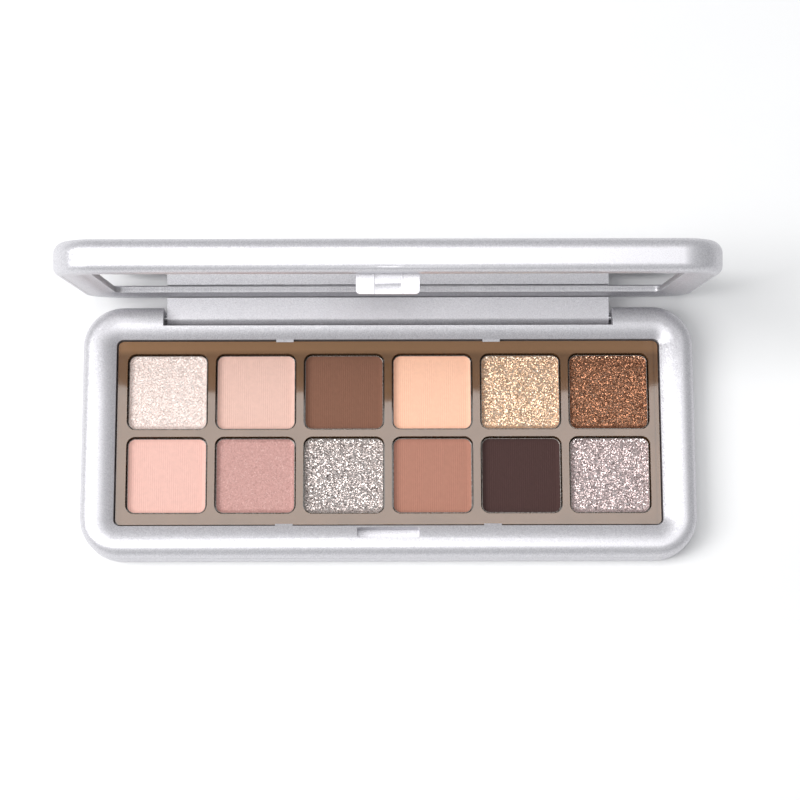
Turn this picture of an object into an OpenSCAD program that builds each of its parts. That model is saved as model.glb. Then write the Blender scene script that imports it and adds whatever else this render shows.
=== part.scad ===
// Twelve-pan eyeshadow palette: a shallow hinged case, a tray of pressed
// powder pans, and a lid that holds a mirror. All sizes are in millimetres.
// The origin is the middle of the flat underside. X runs to the right,
// Y runs from the front edge to the hinge, and Z is up.

/* [Case] */
// Width of the case, left to right
case_w = 130; // [124:0.5:140]
// Depth of the case, front to back
case_d = 54.2; // [52:0.1:60]
// Height of the base, up to the crest of its rim
base_h = 8; // [7.8:0.1:9]
// Thickness of the lid
lid_t = 6.6; // [6.4:0.1:8]
// Plan radius of the corners
corner_r = 8.6; // [8:0.1:9]
// Width of the padded rim round the tray
rim_w = 7.15; // [6.9:0.05:7.3]
// Height of the seam between the two halves of the base
split_z = 4.8; // [4.6:0.1:5]

/* [Hinge] */
// How far the lid stands open from shut, in degrees
open_angle = 79.2; // [0:0.1:98]
// Height of the hinge line
pivot_z = 3.6; // [3.5:0.05:3.7]
// Radius of the hinge knuckle, and half the thickness of the hinge flap
knuckle_r = 1.7; // [1.6:0.05:1.7]
// Width of the hinge flap
flap_w = 94.6; // [80:0.1:96]
// Gap beside each end of the flap
flap_gap = 0.6; // [0.4:0.1:1]
// Depth of the notch that the flap sits in
notch_depth = 4.4; // [4.2:0.05:4.5]
// Radius of the steel hinge pins
pin_r = 0.75; // [0.6:0.05:0.8]
// Radial play of the knuckle on its pins
pin_play = 0.05; // [0.03:0.01:0.08]

/* [Pans] */
// Columns of pans
columns = 6; // [6:1:6]
// Rows of pans
rows = 2; // [2:1:2]
// Distance between columns
pitch_x = 18.75; // [18.6:0.05:18.8]
// Distance between rows
pitch_y = 18.1; // [18:0.05:18.3]
// Width of each pocket in the tray
pocket_w = 17.2; // [16.8:0.1:17.3]
// Depth of each pocket, front to back
pocket_d = 16.6; // [16.4:0.1:16.9]
// Corner radius of a pocket
pocket_r = 1.9; // [1.5:0.1:2.4]

/* [Latch] */
// Width of the latch tab on the lid
tab_w = 12.3; // [10:0.1:14]
// How far the tab reaches below the lid
tab_h = 3.8; // [3.4:0.1:3.9]
// Thickness of the tab
tab_t = 1.2; // [1:0.1:1.3]
// Width of the slot in the rim
slot_w = 13.1; // [13:0.1:16]

/* [Hidden] */

arc_fn = 64;          // any value over 12 gives true arcs
eps = 0.01;           // overlap that keeps cuts and unions clean
past = 1;             // how far a cutting shape runs past what it cuts

// Case walls
wall = 1.5;
floor_t = 1;
foot_r = 1;           // rounding under the case
edge_r = 2.5;         // outer rounding of the rim
slope_r = 6.8;        // inner, padded curve of the rim
crest_r = corner_r - 2.9; // where that curve starts, from the corner centre
seam_groove = 0.46;   // side of the square cut turned into the V seam
fit = 0.05;           // play between two halves that are pressed together

// Window in the rim, and the rim's own inner wall
window_r = corner_r - rim_w;
window_w = case_w - 2 * rim_w;
window_d = case_d - 2 * rim_w;
front_reach = 0.5;    // the window's front edge lies this much nearer the front
window_front = -window_d / 2 - front_reach;
lip_t = 1.2;
lip_bottom = 3.4;
rim_roof_z = 6;
skirt_t = 1.15;
skirt_bottom = 2.6;

// Tray
tray_gap = 0.35;
tray_top = 6.1;
tray_step = 0.2;      // the tray's side margins sit this much lower
tray_margin = 1;
pocket_floor = 1.9;
nib_x = 22;
nib_w = 3.7;
nib_reach = 0.5;
nib_t = 0.3;

// Pans and powder
rows_y = -0.4;        // the rows sit a little nearer the front
pan_gap = 0.22;
pan_wall = 0.2;
glue_t = 0.3;
glue_r = 4;
pan_bottom = pocket_floor + glue_t;
pan_top = 5.2;
powder_top = 5.15;

// Hinge
pivot_y = case_d / 2 - knuckle_r;
notch_y = case_d / 2 - notch_depth;
notch_w = flap_w + 2 * flap_gap;
stop_z = 1.5;         // the flap's back meets this ledge when fully open
cheek_t = 1.2;
boss_w = 6.5;
boss_d = 4.9;
pin_len_out = 5;      // pin length held in the case
pin_len_in = 4.6;     // pin length in the knuckle

// Lid, drawn shut and then swung open
seam_gap = 0.1;
lid_z = base_h + seam_gap;
lid_top = lid_z + lid_t;
lid_wall = 1.8;
lid_roof_t = 1.2;
lid_edge_r = 2.4;
lid_seam_r = 1.7;
frame_r = corner_r - lid_wall - fit;
frame_slope_r = 8.3;
frame_slope_in = corner_r - 3.2; // contact band ends here, from the corner centre
frame_land_r = corner_r - 6.3;
frame_land_up = 0.6;
mirror_inset = 7.2;
mirror_up = 1.2;
mirror_t = 1.2;
mirror_gap = 0.15;
pad_t = 0.4;
plate_t = 0.8;
shoulder_gap = 0.2;   // groove between the flap and the lid's rim
scoop_r = 24;         // shallow dip for a thumb nail
scoop_depth = 0.3;
scoop_h = 1.2;

// Latch
slot_back = window_front - 0.4;
slot_d = 2.35;
slot_floor = 3.4;
slot_corner = 0.4;
slot_box_w = slot_w + 2;
slot_box_front = window_front - 4;
slot_box_bottom = 2.4;
tab_front = window_front - 2.35;
tab_rib_x = 2.75;
tab_rib_w = 0.3;
tab_rib_t = 0.14;
tab_corner = 0.8;
catch_w = 4.5;
catch_reach = 0.2;
catch_z = 6.35;
ridge_w = 5;
ridge_reach = 0.15;
ridge_h = 0.5;

silver = [0.78, 0.78, 0.81];
amber = [0.55, 0.42, 0.3];
tin = [0.8, 0.78, 0.76];
glue = [0.85, 0.82, 0.75];
powder_colors = [
    [0.96, 0.87, 0.84], [0.92, 0.77, 0.72], [0.53, 0.38, 0.31],
    [0.98, 0.79, 0.68], [0.87, 0.74, 0.63], [0.6, 0.41, 0.31],
    [0.97, 0.8, 0.75], [0.85, 0.67, 0.64], [0.8, 0.75, 0.73],
    [0.74, 0.53, 0.46], [0.32, 0.24, 0.23], [0.78, 0.72, 0.7]];

// ---- Shapes that repeat ----

// Rounded rectangle in plan
module rounded_plan(w, d, r) {
    square([w - 2 * r, d], center = true);
    square([w, d - 2 * r], center = true);
    for (sx = [-1, 1], sy = [-1, 1])
        translate([sx * (w / 2 - r), sy * (d / 2 - r)]) circle(r = r, $fn = arc_fn);
}

// Flat slab with rounded corners, between two heights
module slab(w, d, r, z0, z1) {
    translate([0, 0, z0]) linear_extrude(z1 - z0) rounded_plan(w, d, r);
}

// Carries a section round the case: its x is the distance from the corner
// centre and its y is the height. Four straight rails and four quarter turns.
module around_case() {
    half = [case_w / 2 - corner_r, case_d / 2 - corner_r];
    for (k = [0:3]) {
        hx = half[k % 2];
        hy = half[(k + 1) % 2];
        rotate([0, 0, 90 * k]) translate([hx, hy, 0]) {
            rotate([90, 0, 0]) linear_extrude(2 * hy) children();
            rotate_extrude(angle = 90, $fn = arc_fn) children();
        }
    }
}

// The waste left when the top right corner of a section is rounded to r
module corner_waste(x, y, r) {
    translate([x - r, y - r]) difference() {
        square(r + past);
        circle(r = r, $fn = arc_fn);
    }
}

// The same for the bottom right corner
module foot_waste(x, y, r) {
    translate([x - r, y + r]) difference() {
        translate([0, -r - past]) square(r + past);
        circle(r = r, $fn = arc_fn);
    }
}

// V groove in the outer face
module seam_waste() {
    translate([corner_r, split_z]) rotate(45) square(seam_groove, center = true);
}

// Box given by its two opposite corners
module block(low, high) {
    translate(low) cube(high - low);
}

// Place of pan number i, counted from the rear left
function pan_x(i) = ((i % columns) - (columns - 1) / 2) * pitch_x;
function pan_y(i) = rows_y + ((rows - 1) / 2 - floor(i / columns)) * pitch_y;

// Swings the lid about the hinge line
module swung_open() {
    translate([0, pivot_y, pivot_z]) rotate([-open_angle, 0, 0])
        translate([0, -pivot_y, -pivot_z]) children();
}

// ---- Base ----

module lower_section() {
    difference() {
        translate([2, 0]) square([corner_r - 2, split_z]);
        translate([2 - past, floor_t])
            square([corner_r - wall - 2 + past, split_z]);
        foot_waste(corner_r, 0, foot_r);
        seam_waste();
    }
}

// Cylinder along the hinge line, from |x| = a to |x| = b
module pin_hole(side, a, b, r) {
    translate([side > 0 ? a : -b, pivot_y, pivot_z]) rotate([0, 90, 0])
        cylinder(h = b - a, r = r, $fn = arc_fn);
}

module base_lower_case() {
    color(silver) difference() {
        union() {
            around_case() lower_section();
            slab(case_w - 2 * corner_r + 6, case_d - 2 * corner_r + 6, 3,
                 0, floor_t);
            block([-notch_w / 2 - cheek_t, notch_y - cheek_t, floor_t - eps],
                  [notch_w / 2 + cheek_t, notch_y, split_z]);
            for (side = [-1, 1])
                mirror([side < 0 ? 1 : 0, 0, 0])
                    block([notch_w / 2, case_d / 2 - boss_d, floor_t - eps],
                          [notch_w / 2 + boss_w, case_d / 2 - wall + eps, split_z]);
        }
        block([-notch_w / 2, notch_y, floor_t],
              [notch_w / 2, case_d / 2 - wall, split_z + past]);
        block([-notch_w / 2, case_d / 2 - wall - eps, stop_z],
              [notch_w / 2, case_d / 2 + past, split_z + past]);
        for (side = [-1, 1])
            pin_hole(side, notch_w / 2 - past, notch_w / 2 + pin_len_out, pin_r);
    }
}

module rim_section() {
    skirt_r = corner_r - wall - fit;
    difference() {
        translate([window_r, skirt_bottom])
            square([corner_r - window_r, base_h - skirt_bottom]);
        // step that rests on the lower wall
        translate([skirt_r, skirt_bottom - past])
            square([wall + past, split_z - skirt_bottom + past]);
        // hollow under the rim
        translate([window_r + lip_t, skirt_bottom - past])
            square([skirt_r - skirt_t - window_r - lip_t, rim_roof_z - skirt_bottom + past]);
        translate([window_r - past, skirt_bottom - past])
            square([lip_t + past + eps, lip_bottom - skirt_bottom + past]);
        // rounded outside, padded inside
        corner_waste(corner_r, base_h, edge_r);
        translate([window_r - past, lip_bottom]) difference() {
            square([crest_r - window_r + past, base_h]);
            translate([crest_r - window_r + past, base_h - slope_r - lip_bottom])
                circle(r = slope_r, $fn = arc_fn);
            translate([-past, -past]) square([past + crest_r, past + 1.5]);
        }
        seam_waste();
    }
}

module latch_catch() {
    translate([0, slot_back - slot_d, catch_z]) rotate([90, 0, 90])
        translate([0, 0, -catch_w / 2]) linear_extrude(catch_w)
            polygon([[-0.3, -0.25], [0, -0.25], [catch_reach, 0], [0, 0.4], [-0.3, 0.4]]);
}

// Wedge that holds down the edge of the tray, reaching towards +Y
module nib() {
    translate([-nib_w / 2, 0, 0]) rotate([90, 0, 90]) linear_extrude(nib_w)
        polygon([[-0.3, 0], [nib_reach, 0], [nib_reach, 0.05], [0, nib_t], [-0.3, nib_t]]);
}

module base_rim_frame() {
    color(silver) {
        difference() {
            union() {
                around_case() rim_section();
                block([-slot_box_w / 2, slot_box_front, slot_box_bottom],
                      [slot_box_w / 2, window_front, rim_roof_z + eps]);
                block([-notch_w / 2 - cheek_t, notch_y - cheek_t, split_z],
                      [notch_w / 2 + cheek_t, notch_y, rim_roof_z + eps]);
                for (side = [-1, 1])
                    mirror([side < 0 ? 1 : 0, 0, 0])
                        block([notch_w / 2, notch_y - cheek_t, split_z],
                              [notch_w / 2 + cheek_t, case_d / 2 - wall, rim_roof_z + eps]);
            }
            translate([0, -front_reach / 2, 0])
                slab(window_w, window_d + front_reach, window_r, 0, base_h + past);
            block([-notch_w / 2, notch_y, 0], [notch_w / 2, case_d, base_h + past]);
            // the skirt stops short of the blocks that hold the hinge pins
            block([-notch_w / 2 - boss_w - fit, case_d / 2 - boss_d - fit, 0],
                  [notch_w / 2 + boss_w + fit, case_d, split_z]);
            translate([0, slot_back - slot_d / 2, slot_floor])
                linear_extrude(base_h) rounded_plan(slot_w, slot_d, slot_corner);
        }
        for (x = [-nib_x, nib_x]) {
            translate([x, window_front, tray_top + fit]) nib();
            translate([x, window_d / 2, tray_top + fit]) mirror([0, 1, 0]) nib();
        }
        latch_catch();
    }
}

module pan_tray() {
    w = window_w - 2 * tray_gap;
    d = window_d + front_reach - 2 * tray_gap;
    r = window_r - tray_gap;
    color(amber) difference() {
        translate([0, -front_reach / 2, 0]) {
            slab(w, d, r, floor_t, tray_top - tray_step);
            translate([0, 0, tray_top - tray_step - eps])
                linear_extrude(tray_step + eps)
                    square([w - 2 * tray_margin, d], center = true);
        }
        for (i = [0:columns * rows - 1])
            translate([pan_x(i), pan_y(i), pocket_floor])
                linear_extrude(tray_top) rounded_plan(pocket_w, pocket_d, pocket_r);
    }
}

module pan(i) {
    w = pocket_w - 2 * pan_gap;
    d = pocket_d - 2 * pan_gap;
    r = pocket_r - pan_gap;
    color(tin) translate([pan_x(i), pan_y(i), 0]) difference() {
        slab(w, d, r, pan_bottom, pan_top);
        slab(w - 2 * pan_wall, d - 2 * pan_wall, r - pan_wall,
             pan_bottom + pan_wall, pan_top + past);
    }
}

module powder(i) {
    inset = pan_gap + pan_wall;
    color(powder_colors[i]) translate([pan_x(i), pan_y(i), 0])
        slab(pocket_w - 2 * inset, pocket_d - 2 * inset, pocket_r - inset,
             pan_bottom + pan_wall, powder_top);
}

module pan_glue_pads() {
    color(glue) for (i = [0:columns * rows - 1])
        translate([pan_x(i), pan_y(i), pocket_floor])
            cylinder(h = glue_t, r = glue_r, $fn = arc_fn);
}

// ---- Lid ----

module shell_section() {
    difference() {
        translate([2, lid_z]) square([corner_r - 2, lid_t]);
        translate([2 - past, lid_z - past])
            square([corner_r - lid_wall - 2 + past, lid_t - lid_roof_t + past]);
        corner_waste(corner_r, lid_top, lid_edge_r);
        foot_waste(corner_r, lid_z, lid_seam_r);
    }
}

module hinge_flap() {
    rear = case_d / 2;
    inner_y = pivot_y - knuckle_r;
    block([-flap_w / 2, inner_y, pivot_z], [flap_w / 2, rear, lid_z - shoulder_gap]);
    block([-flap_w / 2, rear - lid_wall, lid_z - shoulder_gap - eps],
          [flap_w / 2, rear, lid_z + lid_seam_r + eps]);
    translate([-flap_w / 2, pivot_y, pivot_z]) rotate([0, 90, 0])
        cylinder(h = flap_w, r = knuckle_r, $fn = arc_fn);
}

module lid_outer_shell() {
    color(silver) swung_open() difference() {
        union() {
            around_case() shell_section();
            slab(case_w - 2 * corner_r + 6, case_d - 2 * corner_r + 6, 3,
                 lid_top - lid_roof_t, lid_top);
            hinge_flap();
        }
        for (side = [-1, 1])
            pin_hole(side, flap_w / 2 - pin_len_in - flap_gap, flap_w / 2 + past,
                     pin_r + pin_play);
        translate([0, -case_d / 2 - scoop_r + scoop_depth, lid_z - past])
            cylinder(h = scoop_h + past, r = scoop_r, $fn = arc_fn);
    }
}

module frame_section() {
    opening_r = corner_r - mirror_inset;
    web_z = lid_z + 1.8;
    plate_z = lid_z + mirror_up + mirror_t + pad_t;
    roof_z = lid_top - lid_roof_t;
    difference() {
        translate([opening_r, lid_z]) square([frame_r - opening_r, roof_z - lid_z]);
        // land beside the mirror, then the curve up to the contact band
        translate([opening_r - past, lid_z - past])
            square([frame_land_r - opening_r + past, frame_land_up + past]);
        translate([frame_land_r - eps, lid_z - past]) difference() {
            square([frame_slope_in - frame_land_r + eps, frame_land_up + past]);
            translate([frame_slope_in - frame_land_r + eps, frame_slope_r + past])
                circle(r = frame_slope_r, $fn = arc_fn);
        }
        // channel behind the face
        translate([opening_r + lip_t, web_z])
            square([frame_r - skirt_t - opening_r - lip_t, plate_z - web_z]);
        translate([opening_r - past, plate_z + plate_t])
            square([frame_r - skirt_t - opening_r + past, roof_z]);
    }
}

module tab_outline() {
    h = tab_h + 1.5;
    translate([-tab_w / 2, tab_corner]) square([tab_w, h - tab_corner]);
    translate([-tab_w / 2 + tab_corner, 0]) square([tab_w - 2 * tab_corner, h]);
    for (sx = [-1, 1])
        translate([sx * (tab_w / 2 - tab_corner), tab_corner])
            circle(r = tab_corner, $fn = arc_fn);
}

// Snap ridge between the ribs, at height z
module tab_ridge(z, reach) {
    translate([-ridge_w / 2, tab_front, z]) rotate([90, 0, 90]) linear_extrude(ridge_w)
        polygon([[0.3, -ridge_h / 2], [0, -ridge_h / 2], [-reach, 0], [0, ridge_h / 2],
                 [0.3, ridge_h / 2]]);
}

module latch_tab() {
    translate([0, tab_front + tab_t, lid_z - tab_h]) rotate([90, 0, 0])
        linear_extrude(tab_t) tab_outline();
    for (sx = [-1, 1])
        block([sx * tab_rib_x - tab_rib_w / 2, tab_front - tab_rib_t, lid_z - tab_h],
              [sx * tab_rib_x + tab_rib_w / 2, tab_front + eps, lid_z + 0.6]);
    tab_ridge(lid_z - 0.52 * tab_h, ridge_reach);
    tab_ridge(lid_z - 0.3 * tab_h, ridge_reach / 2);
}

module lid_inner_frame() {
    plate_z = lid_z + mirror_up + mirror_t + pad_t;
    color(silver) swung_open() {
        around_case() frame_section();
        slab(case_w - 2 * mirror_inset + 1, case_d - 2 * mirror_inset + 1,
             corner_r - mirror_inset + 0.5, plate_z, plate_z + plate_t);
        latch_tab();
    }
}

module lid_mirror() {
    inset = mirror_inset + mirror_gap;
    color("lightsteelblue") swung_open()
        slab(case_w - 2 * inset, case_d - 2 * inset, corner_r - inset,
             lid_z + mirror_up, lid_z + mirror_up + mirror_t);
}

module mirror_adhesive_pad() {
    z = lid_z + mirror_up + mirror_t;
    color(glue) swung_open() slab(case_w - 30, case_d - 24, 2, z, z + pad_t);
}

module hinge_pin(side) {
    color("gainsboro")
        pin_hole(side, flap_w / 2 - pin_len_in, notch_w / 2 + pin_len_out, pin_r);
}

base_lower_case();
base_rim_frame();
pan_tray();
for (i = [1:12]) pan(i - 1);
for (i = [1:12]) powder(i - 1);
pan_glue_pads();
lid_outer_shell();
lid_inner_frame();
lid_mirror();
mirror_adhesive_pad();
hinge_pin(-1);  // hinge_pin_left
hinge_pin(1);  // hinge_pin_right
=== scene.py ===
# %% [markdown]
# # An eyeshadow palette, piece by piece
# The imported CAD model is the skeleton: its case, tray, lid and hinge pins sit
# where they belong and move on the hinge. This lesson gives that skeleton its
# looks. We keep the CAD pieces whose shape is already right, soften the edges
# of the moulded ones, roll the rims of the pans, press our own powder cakes,
# and paint every surface.
# %% Load the frame
import math

import bmesh
import bpy
import numpy as np
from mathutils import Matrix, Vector


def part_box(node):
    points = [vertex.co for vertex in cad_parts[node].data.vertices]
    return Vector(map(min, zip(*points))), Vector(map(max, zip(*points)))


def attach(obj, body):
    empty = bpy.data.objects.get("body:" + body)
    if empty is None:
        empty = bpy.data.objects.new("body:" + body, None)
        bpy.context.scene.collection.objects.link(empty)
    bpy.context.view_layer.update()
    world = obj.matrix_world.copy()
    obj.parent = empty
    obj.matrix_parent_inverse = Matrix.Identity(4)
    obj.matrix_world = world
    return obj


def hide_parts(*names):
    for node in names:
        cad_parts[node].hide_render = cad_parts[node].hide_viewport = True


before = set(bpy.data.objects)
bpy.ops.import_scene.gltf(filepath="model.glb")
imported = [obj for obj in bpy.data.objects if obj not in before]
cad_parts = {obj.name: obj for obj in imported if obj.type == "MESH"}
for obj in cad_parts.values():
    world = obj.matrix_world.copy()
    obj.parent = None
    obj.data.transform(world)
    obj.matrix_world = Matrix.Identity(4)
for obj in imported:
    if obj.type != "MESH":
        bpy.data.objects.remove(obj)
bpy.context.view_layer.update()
MM = 0.001
PANS = range(1, 13)

# %% [markdown]
# ## From arrays to meshes
# Every new piece is worked out as arrays of points, never vertex by vertex.
# One helper turns the arrays into a mesh, shades it smooth, and marks as sharp
# only the edges where the surface really turns a corner.
# %% Mesh helper
def make_piece(name, points, faces, sharp=40):
    """A mesh object from an (n, 3) array in metres and a list of faces."""
    mesh = bpy.data.meshes.new(name)
    mesh.from_pydata(np.asarray(points, float).tolist(), [], faces)
    mesh.validate()
    mesh.shade_smooth()
    mesh.set_sharp_from_angle(angle=math.radians(sharp))
    piece = bpy.data.objects.new(name, mesh)
    bpy.context.scene.collection.objects.link(piece)
    return piece


def dress(piece, body, slot, material, *stands_for):
    """Hangs a piece on its body, paints it, and hides the CAD nodes it stands for."""
    piece.data.materials.clear()
    piece.data.materials.append(material)
    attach(piece, body)
    if stands_for:
        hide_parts(*stands_for)
    print(f"{piece.name}: {len(piece.data.polygons)} faces on {body}")
    return piece


# %% [markdown]
# ## A small kit for materials
# Each finish is a Principled shader. What is the same all over a surface is
# typed straight into the shader's own sockets; only what changes from place to
# place is a texture. Patterns read Object coordinates, which here are metres
# in the palette's own frame, so every size below is a real one.
# %% Material helpers
class Finish:
    """One Principled material, with short ways to add and join nodes."""

    def __init__(self, name, **fixed):
        self.material = bpy.data.materials.new(name)
        self.material.use_nodes = True
        self.tree = self.material.node_tree
        self.shader = self.tree.nodes["Principled BSDF"]
        for socket, value in fixed.items():
            self.shader.inputs[socket.replace("_", " ")].default_value = value
        self.place = self.node("ShaderNodeTexCoord").outputs["Object"]

    def node(self, kind, inputs=None, **settings):
        made = self.tree.nodes.new(kind)
        for key, value in settings.items():
            setattr(made, key, value)
        for key, value in (inputs or {}).items():
            if isinstance(value, bpy.types.NodeSocket):
                self.tree.links.new(value, made.inputs[key])
            else:
                made.inputs[key].default_value = value
        return made

    def feed(self, socket, source):
        self.tree.links.new(source, self.shader.inputs[socket])

    def stretched(self, x, y, z):
        """The place on the object with each axis scaled, to draw out a pattern."""
        return self.node("ShaderNodeMapping", {"Vector": self.place, "Scale": (x, y, z)}).outputs[0]

    def noise(self, size, detail=3.0, rough=0.5, place=None):
        """Soft noise whose blobs are about size metres across."""
        inputs = {"Vector": place or self.place, "Scale": 1 / size, "Detail": detail, "Roughness": rough}
        return self.node("ShaderNodeTexNoise", inputs).outputs[0]

    def cells(self, size):
        """Flakes about size metres across: the node whose Color is random in each."""
        return self.node("ShaderNodeTexVoronoi", {"Vector": self.place, "Scale": 1 / size})

    def ramp(self, value, *stops):
        """A colour for each level of value; stops are (level, (r, g, b))."""
        made = self.node("ShaderNodeValToRGB", {0: value})
        band = made.color_ramp
        while len(band.elements) < len(stops):
            band.elements.new(0.5)
        for element, (level, colour) in zip(band.elements, stops):
            element.position = level
            element.color = (*colour, 1)
        return made.outputs[0]

    def levels(self, value, low, high, start=0.0, end=1.0):
        """Value from start..end stretched to low..high."""
        inputs = {0: value, 1: start, 2: end, 3: low, 4: high}
        return self.node("ShaderNodeMapRange", inputs).outputs[0]

    def channel(self, colour, index):
        """One channel of a colour: 0 is red, 1 is green, 2 is blue."""
        return self.node("ShaderNodeSeparateColor", {0: colour}).outputs[index]

    def bump(self, height, depth, strength=1.0, over=None):
        """Relief depth metres deep, laid over an earlier normal if there is one."""
        inputs = {"Height": height, "Distance": depth, "Strength": strength}
        if over is not None:
            inputs["Normal"] = over
        return self.node("ShaderNodeBump", inputs).outputs[0]

    def tilted_flakes(self, flakes, tilt):
        """The surface normal leaned over at random in each flake, by up to tilt."""
        def vector(operation, inputs):
            return self.node("ShaderNodeVectorMath", inputs, operation=operation).outputs[0]

        centred = vector("SUBTRACT", {0: flakes.outputs["Color"], 1: (0.5, 0.5, 0.5)})
        lean = vector("SCALE", {0: centred, "Scale": tilt})
        normal = self.node("ShaderNodeNewGeometry").outputs["Normal"]
        return vector("NORMALIZE", {0: vector("ADD", {0: normal, 1: lean})})


# %% [markdown]
# ## Satin silver paint
# The case and lid are plastic under a metallic paint: aluminium flakes in a
# clear binder. A plain metal shader looks like solid steel, so we lean the
# normal a little at random in cells not quite a fifth of a millimetre across,
# and vary the tone from cell to cell. That gives the soft grain of the paint.
# %% Silver paint
def silver_paint():
    paint = Finish("satin_silver_paint", Metallic=0.58, Roughness=0.43)
    flakes = paint.cells(0.18 * MM)
    tone = paint.channel(flakes.outputs["Color"], 0)
    paint.feed("Base Color", paint.ramp(tone, (0.0, (0.62, 0.61, 0.64)), (1.0, (0.80, 0.79, 0.82))))
    paint.feed("Normal", paint.tilted_flakes(flakes, 0.10))
    return paint.material


silver = silver_paint()
print("made", silver.name)

# %% [markdown]
# ## Smoked amber plastic
# The tray is one glossy moulding in a dark, clouded brown. Its character is its
# mirror-like surface, so the shader is smooth, and only a faint waviness of the
# mould and a thin haze break the reflections. Behind the last row the brown is
# painted paler: a painted reflection of the lit lid frame and mirror above it.
# %% Amber plastic
# Painted reflection: from these two y values on, the brown turns to the paler one below, standing in for
# the lit lid frame and mirror that the glossy tray reflects behind the last row.
PAINTED_REFLECTION_START, PAINTED_REFLECTION_FULL = 16.5 * MM, 17.8 * MM
PAINTED_REFLECTION_BROWN = (0.27, 0.145, 0.07, 1)


def amber_plastic():
    amber = Finish("smoked_amber_plastic", IOR=1.7)
    cloud = amber.noise(6 * MM, detail=2.0)
    body = amber.ramp(cloud, (0.3, (0.15, 0.078, 0.036)), (0.7, (0.18, 0.093, 0.045)))
    y = amber.node("ShaderNodeSeparateXYZ", {0: amber.place}).outputs[1]
    # painted reflection: the brown is made paler behind the last row
    painted_reflection = amber.levels(y, 0.0, 1.0, PAINTED_REFLECTION_START, PAINTED_REFLECTION_FULL)
    brown = amber.node("ShaderNodeMix", {0: painted_reflection, 6: body, 7: PAINTED_REFLECTION_BROWN}, data_type="RGBA")
    amber.feed("Base Color", brown.outputs[2])
    amber.feed("Roughness", amber.levels(amber.noise(1.2 * MM), 0.05, 0.11))
    amber.feed("Normal", amber.bump(amber.noise(4 * MM, detail=1.0), 0.02 * MM))
    return amber.material


amber = amber_plastic()
print("made", amber.name)

# %% [markdown]
# ## Tinplate, mirror glass, steel and glue
# The pans are pressed from thin, dull tinplate. The mirror is a near-perfect
# reflector with a whisper of haze. The pins are drawn steel, with fine lines
# along their length, and the glue is a soft pale pad.
# %% Small finishes
def tin_plate():
    tin = Finish("dull_tinplate", Metallic=1.0)
    grain = tin.noise(0.4 * MM, detail=4.0)
    tin.feed("Base Color", tin.ramp(grain, (0.3, (0.22, 0.19, 0.17)), (0.7, (0.34, 0.31, 0.29))))
    tin.feed("Roughness", tin.levels(grain, 0.2, 0.34))
    return tin.material


def mirror_glass():
    glass = Finish("silvered_mirror", Metallic=1.0)
    haze = glass.noise(20 * MM, detail=4.0)
    glass.feed("Base Color", glass.ramp(haze, (0.3, (0.86, 0.87, 0.87)), (0.7, (0.90, 0.90, 0.90))))
    glass.feed("Roughness", glass.levels(haze, 0.004, 0.03))
    return glass.material


def drawn_steel():
    steel = Finish("drawn_steel", Metallic=1.0, Roughness=0.3)
    lines = steel.noise(0.2 * MM, place=steel.stretched(0.05, 1, 1))
    steel.feed("Base Color", steel.ramp(lines, (0.3, (0.45, 0.45, 0.46)), (0.7, (0.62, 0.62, 0.63))))
    return steel.material


def soft_glue():
    glue = Finish("soft_adhesive", Roughness=0.7)
    patches = glue.noise(1 * MM)
    glue.feed("Base Color", glue.ramp(patches, (0.3, (0.60, 0.56, 0.48)), (0.7, (0.72, 0.68, 0.60))))
    return glue.material


tin, mirror, steel, glue = tin_plate(), mirror_glass(), drawn_steel(), soft_glue()
print("made", tin.name, mirror.name, steel.name, glue.name)

# %% [markdown]
# ## Moulded parts with soft edges
# A mould never leaves a razor edge, and the thin bright line along a rounded
# one is what makes plastic look real. The CAD shells have true shapes but
# sharp edges, so we copy each mesh, join its loose triangles, merge the flat
# ones, and let a Bevel modifier round only the edges that turn sharply.
# %% Softened copies of the shells
SHARP_TURN = math.radians(38)
FLAT_TURN = math.radians(0.3)
SAME_POINT = 2e-7


def softened(node, width, name):
    """A copy of a CAD node with its sharp edges rounded to width metres."""
    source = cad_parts[node].data
    points = np.empty(len(source.vertices) * 3)
    source.vertices.foreach_get("co", points)
    joined = bmesh.new()
    plain = bpy.data.meshes.new(name)
    faces = [list(face.vertices) for face in source.polygons]
    plain.from_pydata(points.reshape(-1, 3).tolist(), [], faces)
    joined.from_mesh(plain)
    bmesh.ops.remove_doubles(joined, verts=joined.verts, dist=SAME_POINT)
    bmesh.ops.dissolve_limit(joined, angle_limit=FLAT_TURN, verts=joined.verts, edges=joined.edges)
    joined.to_mesh(plain)
    joined.free()
    plain.shade_smooth()
    plain.set_sharp_from_angle(angle=SHARP_TURN)
    piece = bpy.data.objects.new(name, plain)
    bpy.context.scene.collection.objects.link(piece)
    bevel = piece.modifiers.new("soft_edges", "BEVEL")
    bevel.width = width
    bevel.segments = 2
    bevel.limit_method = "ANGLE"
    bevel.angle_limit = SHARP_TURN
    bevel.harden_normals = True
    return piece


for node, body, slot, material, width in (
    ("base_rim_frame", "base", "satin_silver", silver, 0.12),
    ("base_lower_case", "base", "satin_silver", silver, 0.12),
    ("pan_tray", "base", "smoked_amber", amber, 0.12),
    ("lid_outer_shell", "lid", "satin_silver", silver, 0.12),
    ("lid_inner_frame", "lid", "satin_silver", silver, 0.10),
    ("lid_mirror", "lid", "mirror", mirror, 0.10),
):
    dress(softened(node, width * MM, node + "_soft"), body, slot, material, node)

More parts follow.
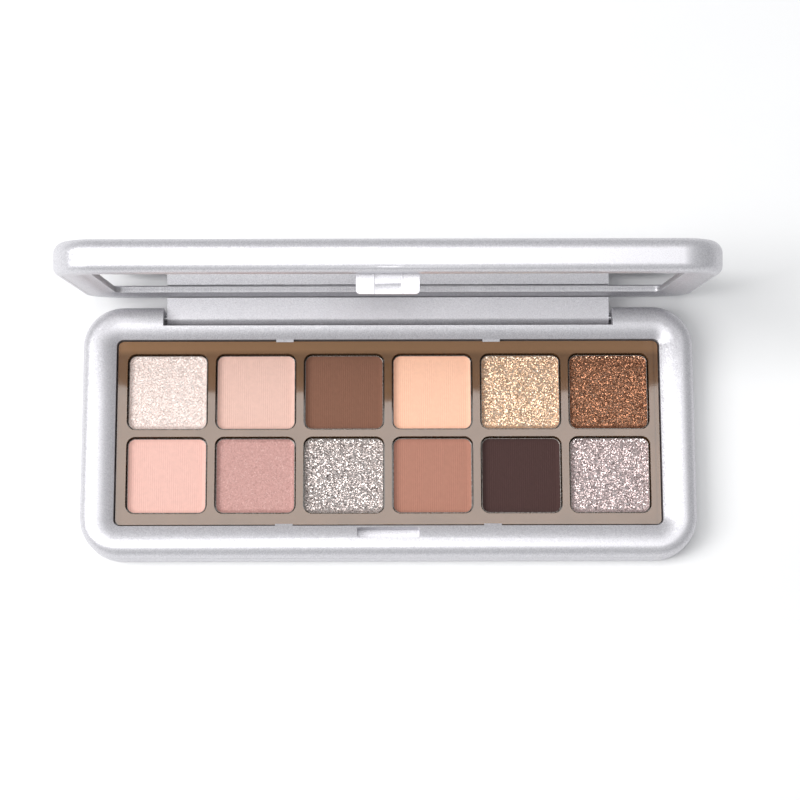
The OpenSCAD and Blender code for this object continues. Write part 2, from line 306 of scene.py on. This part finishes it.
# %% [markdown]
# ## Rounded squares
# Pans and powders share one outline: a rectangle with round corners. Two
# functions describe it. One walks round it, for walls. The other bends a
# square grid to fill it, for the face of a powder.
# %% Rounded square helpers
def outline(w, d, r, steps=10):
    """Points round a rounded rectangle, anticlockwise: each corner centre plus
    r times (cos a, sin a), with a running through that corner's quarter turn."""
    turn = np.linspace(0, math.pi / 2, steps + 1)
    quarter = np.arange(4)[:, None] * math.pi / 2
    a = (quarter + turn).ravel()
    sx = np.repeat([1, -1, -1, 1], steps + 1)
    sy = np.repeat([1, 1, -1, -1], steps + 1)
    return np.stack([sx * (w / 2 - r) + r * np.cos(a), sy * (d / 2 - r) + r * np.sin(a)], -1)


def filled(w, d, r, n):
    """An n by n grid bent to fill the same shape. Outside the corner zones it
    is left alone. In a corner zone the unit square (a, b) becomes a quarter
    disc by (a sqrt(1 - b*b/2), b sqrt(1 - a*a/2))."""
    u, v = np.meshgrid(np.linspace(-w / 2, w / 2, n), np.linspace(-d / 2, d / 2, n))
    a = np.clip((np.abs(u) - (w / 2 - r)) / r, 0, 1)
    b = np.clip((np.abs(v) - (d / 2 - r)) / r, 0, 1)
    x = np.where(a > 0, np.sign(u) * (w / 2 - r + r * a * np.sqrt(1 - b * b / 2)), u)
    y = np.where(b > 0, np.sign(v) * (d / 2 - r + r * b * np.sqrt(1 - a * a / 2)), v)
    return x, y


def edge_distance(x, y, w, d, r):
    """How far inside a rounded rectangle each point lies."""
    qx, qy = np.abs(x) - (w / 2 - r), np.abs(y) - (d / 2 - r)
    return r - np.hypot(np.maximum(qx, 0), np.maximum(qy, 0)) - np.minimum(np.maximum(qx, qy), 0)


# %% [markdown]
# ## Tinplate pans
# Each pan is a cup about three millimetres deep. We draw half its wall as a
# profile - up the outside, over a tiny rolled rim, down the inside, round the
# fillet to the floor - and carry it round the outline by shrinking the outline
# by the profile's inset.
# %% Pans
WALL = 0.2 * MM
FILLET = 0.4 * MM


def pan_profile(height):
    """(inset, height) pairs: foot bend, outer wall, half circle over the rim,
    inner wall, quarter circle to the floor."""
    over = np.linspace(math.pi, 0, 9)
    rim = np.stack([WALL / 2 + WALL / 2 * np.cos(over), height - WALL / 2 + WALL / 2 * np.sin(over)], -1)
    down = np.linspace(math.pi, 1.5 * math.pi, 6)
    foot = np.linspace(1.5 * math.pi, math.pi, 6)
    outside = np.stack([FILLET + FILLET * np.cos(foot), FILLET + FILLET * np.sin(foot)], -1)
    inside = np.stack([WALL + FILLET + FILLET * np.cos(down), WALL + FILLET + FILLET * np.sin(down)], -1)
    return np.concatenate([outside, rim, inside])


def carried(profile, w, d, r, centre, base):
    """Rings of points: the outline shrunk by each inset and lifted to its height."""
    rings = []
    for inset, up in profile:
        ring = outline(w - 2 * inset, d - 2 * inset, r - inset)
        rings.append(np.column_stack([ring + centre, np.full(len(ring), base + up)]))
    return np.concatenate(rings), len(ring)


def ring_faces(rings, around):
    """Quads between neighbouring rings, and a cap on the first and last."""
    i = np.arange(around)
    j = (i + 1) % around
    faces = [np.stack([k * around + i, k * around + j, (k + 1) * around + j, (k + 1) * around + i], -1)
             for k in range(rings - 1)]
    faces = np.concatenate(faces).tolist()
    faces.append(i[::-1].tolist())
    faces.append((i + (rings - 1) * around).tolist())
    return faces


PAN_CORNER = 1.68 * MM
for i in PANS:
    low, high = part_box(f"pan_{i}")
    size, centre = high - low, (high + low) / 2
    profile = pan_profile(size.z)
    points, around = carried(profile, size.x, size.y, PAN_CORNER, centre[:2], low.z)
    pan = make_piece(f"tin_pan_{i}", points, ring_faces(len(profile), around), sharp=60)
    dress(pan, "base", "tinplate", tin, f"pan_{i}")

# %% [markdown]
# ## Pressed powders
# A powder is pressed under a ribbon of cloth. The press leaves a flat field,
# a shallow rise where the powder climbs the wall of the pan, and the faint
# ribs of the cloth. Glitter powders are lumpier, because their flakes stack.
# The form comes first: a bent grid whose height is the rise at the edge plus
# soft noise, closed by a wall and a floor hidden in the pan.
# %% Powder form
def value_noise(x, y, cell, rng):
    """Random heights on a square lattice, joined by smooth steps: at each point
    the four nearest heights are mixed by t*t*(3 - 2t) in x and in y."""
    gx, gy = (x - x.min()) / cell, (y - y.min()) / cell
    heights = rng.uniform(-1, 1, (int(gy.max()) + 2, int(gx.max()) + 2))
    ix, iy = gx.astype(int), gy.astype(int)
    tx, ty = gx - ix, gy - iy
    tx, ty = tx * tx * (3 - 2 * tx), ty * ty * (3 - 2 * ty)
    top = heights[iy, ix] * (1 - tx) + heights[iy, ix + 1] * tx
    bottom = heights[iy + 1, ix] * (1 - tx) + heights[iy + 1, ix + 1] * tx
    return top * (1 - ty) + bottom * ty


RISE_WIDTH = 0.85 * MM
RISE = 0.45 * MM
UNEVEN = 0.012 * MM
RAGGED = 0.35


def cake(name, low, high, r, n, lumps, rng):
    """A closed powder cake in the box low..high, of n by n points on its face.
    The face is high.z minus the rise, plus the rise times (1 - e / width)
    squared, where e is the distance from the edge and width is that of the
    edge band. To that come slow unevenness and lumps metres of fine noise."""
    size, centre = high - low, (high + low) / 2
    x, y = filled(size.x, size.y, r, n)
    e = np.clip(edge_distance(x, y, size.x, size.y, r) / RISE_WIDTH, 0, 1)
    ragged = 1 + RAGGED * value_noise(x, y, 0.5 * MM, rng) * min(1, lumps / (0.01 * MM))
    z = -RISE + RISE * (1 - e) ** 2 * ragged
    z += UNEVEN * value_noise(x, y, 3 * MM, rng)
    fine = value_noise(x, y, 0.2 * MM, rng)
    z += lumps * (fine + 0.2 * value_noise(x, y, 0.5 * MM, rng))
    z = np.minimum(z, 0)
    face = np.column_stack([(x + centre.x).ravel(), (y + centre.y).ravel(), (z + high.z).ravel()])
    k = np.arange(n * n).reshape(n, n)
    quads = np.stack([k[:-1, :-1], k[:-1, 1:], k[1:, 1:], k[1:, :-1]], -1).reshape(-1, 4)
    rim = np.concatenate([k[0, :-1], k[:-1, -1], k[-1, :0:-1], k[:0:-1, 0]])
    foot = face[rim] * (1, 1, 0) + (0, 0, low.z)
    under = n * n + np.arange(len(rim))
    walls = np.stack([under, np.roll(under, -1), np.roll(rim, -1), rim], -1)
    faces = quads.tolist() + walls.tolist() + [under[::-1].tolist()]
    return make_piece(name, np.concatenate([face, foot]), faces, sharp=70)


# %% [markdown]
# ## Powder finishes
# Matte powder is chalk-like: no gloss, a little velvet at grazing angles, and
# the cloth's ribs as fine relief. Shimmer and glitter are pearl flakes lying
# nearly flat, so each cell of a Voronoi pattern gets its own lean and its own
# tone, and enough shine to flash when its lean meets a light.
# %% Powder materials
RIBS = 700.0  # scale of the wave pattern, for ribs about 0.45 mm apart


def matte_powder(name, colour):
    powder = Finish(name, Roughness=0.95, Sheen_Weight=0.12, Specular_IOR_Level=0.2)
    mottle = powder.noise(0.9 * MM, detail=5.0, rough=0.65)
    dark, light = ([c * k for c in colour] for k in (0.97, 1.03))
    powder.feed("Base Color", powder.ramp(mottle, (0.35, dark), (0.65, light)))
    cloth = {"Vector": powder.place, "Scale": RIBS, "Distortion": 0.4, "Detail": 2.0, "Detail Scale": 3.0}
    ribs = powder.node("ShaderNodeTexWave", cloth, bands_direction="X").outputs[1]
    relief = powder.bump(powder.noise(0.18 * MM), 0.03 * MM, 0.6)
    powder.feed("Normal", powder.bump(ribs, 0.05 * MM, 0.7, over=relief))
    return powder.material


def flake_powder(name, dark, mid, light, size, tilt, rough, metal, sparkle):
    """dark, mid and light are the tones that flakes take, size is how wide they
    are, tilt is how far they lean, and sparkle is the share of bright ones."""
    powder = Finish(name, Roughness=rough, Metallic=metal)
    flakes = powder.cells(size)
    tone = powder.channel(flakes.outputs["Color"], 1)
    powder.feed("Base Color", powder.ramp(tone, (0.0, dark), (0.45, mid), (1 - sparkle, mid), (1.0, light)))
    powder.feed("Normal", powder.tilted_flakes(flakes, tilt))
    return powder.material


# Each matte powder: slot and colour
MATTE = {
    2: ("matte_beige_pink", (0.80, 0.53, 0.45)),
    3: ("matte_brown", (0.235, 0.112, 0.073)),
    4: ("matte_peach", (0.99, 0.585, 0.415)),
    7: ("matte_light_pink", (0.85, 0.525, 0.455)),
    10: ("matte_rose_brown", (0.465, 0.22, 0.16)),
    11: ("matte_espresso", (0.074, 0.039, 0.036)),
}
# Each flake powder: slot, height of its lumps in millimetres, and its look
FLAKES = {
    1: ("pearl_champagne", 0.006, dict(
        dark=(0.56, 0.42, 0.37), mid=(0.91, 0.75, 0.69), light=(1.0, 0.95, 0.91),
        size=0.17 * MM, tilt=0.8, rough=0.42, metal=0.3, sparkle=0.35)),
    5: ("gold_glitter", 0.007, dict(
        dark=(0.42, 0.22, 0.10), mid=(0.96, 0.64, 0.435), light=(1.0, 0.93, 0.80),
        size=0.17 * MM, tilt=0.95, rough=0.28, metal=0.7, sparkle=0.34)),
    6: ("bronze_shimmer", 0.006, dict(
        dark=(0.08, 0.028, 0.014), mid=(0.41, 0.18, 0.096), light=(1.0, 0.62, 0.43),
        size=0.16 * MM, tilt=1.1, rough=0.25, metal=0.8, sparkle=0.32)),
    8: ("dusty_rose_satin", 0.004, dict(
        dark=(0.44, 0.235, 0.21), mid=(0.60, 0.335, 0.302), light=(0.80, 0.52, 0.48),
        size=0.17 * MM, tilt=0.4, rough=0.6, metal=0.2, sparkle=0.15)),
    9: ("silver_glitter", 0.010, dict(
        dark=(0.13, 0.10, 0.09), mid=(0.76, 0.655, 0.62), light=(1.0, 0.98, 0.95),
        size=0.18 * MM, tilt=1.15, rough=0.25, metal=0.72, sparkle=0.42)),
    12: ("pink_silver_glitter", 0.007, dict(
        dark=(0.20, 0.145, 0.14), mid=(0.75, 0.59, 0.575), light=(1.0, 0.94, 0.93),
        size=0.17 * MM, tilt=1.1, rough=0.26, metal=0.68, sparkle=0.40)),
}
CAKE_CORNER = 1.48 * MM
MATTE_GRID, FLAKE_GRID = 97, 161
for i in PANS:
    low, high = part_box(f"powder_{i}")
    if i in MATTE:
        slot, colour = MATTE[i]
        material = matte_powder(slot + "_powder", colour)
        n, lumps = MATTE_GRID, 0
    else:
        slot, lumps, look = FLAKES[i]
        material = flake_powder(slot + "_powder", **look)
        n = FLAKE_GRID
    seeded = np.random.default_rng(i)
    piece = cake(f"pressed_powder_{i}", low, high, CAKE_CORNER, n, lumps * MM, seeded)
    dress(piece, "base", slot, material, f"powder_{i}")

# %% [markdown]
# ## Pieces that stay as the CAD drew them
# The pins, the glue pads and the pad behind the mirror are plain shapes inside
# the palette. They keep their CAD meshes and only get a finish.
# %% Inner pieces
for node, material in (("hinge_pin_left", steel), ("hinge_pin_right", steel),
                       ("pan_glue_pads", glue), ("mirror_adhesive_pad", glue)):
    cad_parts[node].data.materials.clear()
    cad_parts[node].data.materials.append(material)
    print(node, "gets", material.name)

# %% [markdown]
# ## Table and light
# A white table, a wide soft box overhead, a stronger one to the left, and a
# pale surround to lift the shadows. The overhead box is what the amber tray
# mirrors, so it is wide enough to fill the reflection in front of the lid.
# %% Stage
def table_top():
    paper = Finish("white_table", Roughness=0.6)
    cloud = paper.noise(50 * MM)
    paper.feed("Base Color", paper.ramp(cloud, (0.3, (0.93, 0.93, 0.93)), (0.7, (0.95, 0.95, 0.95))))
    half = 3.0
    corners = [(-half, -half, 0), (half, -half, 0), (half, half, 0), (-half, half, 0)]
    top = make_piece("table", corners, [(0, 1, 2, 3)])
    top.data.materials.append(paper.material)


def soft_box(name, place, aim, width, depth, radiance):
    """A rectangle of light of the given radiance, facing aim."""
    light = bpy.data.lights.new(name, "AREA")
    light.shape = "RECTANGLE"
    light.size, light.size_y = width, depth
    light.energy = radiance * math.pi * width * depth
    lamp = bpy.data.objects.new(name, light)
    lamp.location = place
    lamp.rotation_mode = "QUATERNION"
    lamp.rotation_quaternion = (Vector(aim) - Vector(place)).to_track_quat("-Z", "Y")
    bpy.context.scene.collection.objects.link(lamp)


table_top()
soft_box("overhead_soft_box", (-0.06, -0.015, 1.1), (-0.06, -0.015, 0),
         width=0.6, depth=0.67, radiance=3.4)
soft_box("left_soft_box", (-0.8, -0.1, 1.0), (0, 0, 0), width=0.55, depth=0.8, radiance=8.0)
world = bpy.data.worlds.new("surround")
world.use_nodes = True
surround = world.node_tree.nodes["Background"]
surround.inputs["Color"].default_value = (0.95, 0.97, 1.0, 1)
surround.inputs["Strength"].default_value = 0.33
bpy.context.scene.world = world
bpy.context.scene.view_settings.view_transform = "Standard"
print("stage: one table, two soft boxes, and a surround of strength",
      round(surround.inputs["Strength"].default_value, 2))

# %% [markdown]
# ## Camera
# The camera looks down from a little in front of the palette, tilted by ten
# degrees. A small vertical shift of the lens keeps the sides of the case nearly
# parallel in the picture, as a view camera does.
# %% Camera
TILT = math.radians(10)
camera = bpy.data.objects.new("camera", bpy.data.cameras.new("camera"))
bpy.context.scene.collection.objects.link(camera)
camera.data.sensor_width = 36
camera.data.lens = 95.42
camera.data.shift_x = 0.0135
camera.data.shift_y = 0.153
camera.location = Vector((0, -97.1, 445.3)) * MM
camera.rotation_euler = (TILT, 0, math.radians(-0.124))
bpy.context.scene.camera = camera
print("camera", [round(c / MM, 1) for c in camera.location], "mm, lens", round(camera.data.lens, 2))
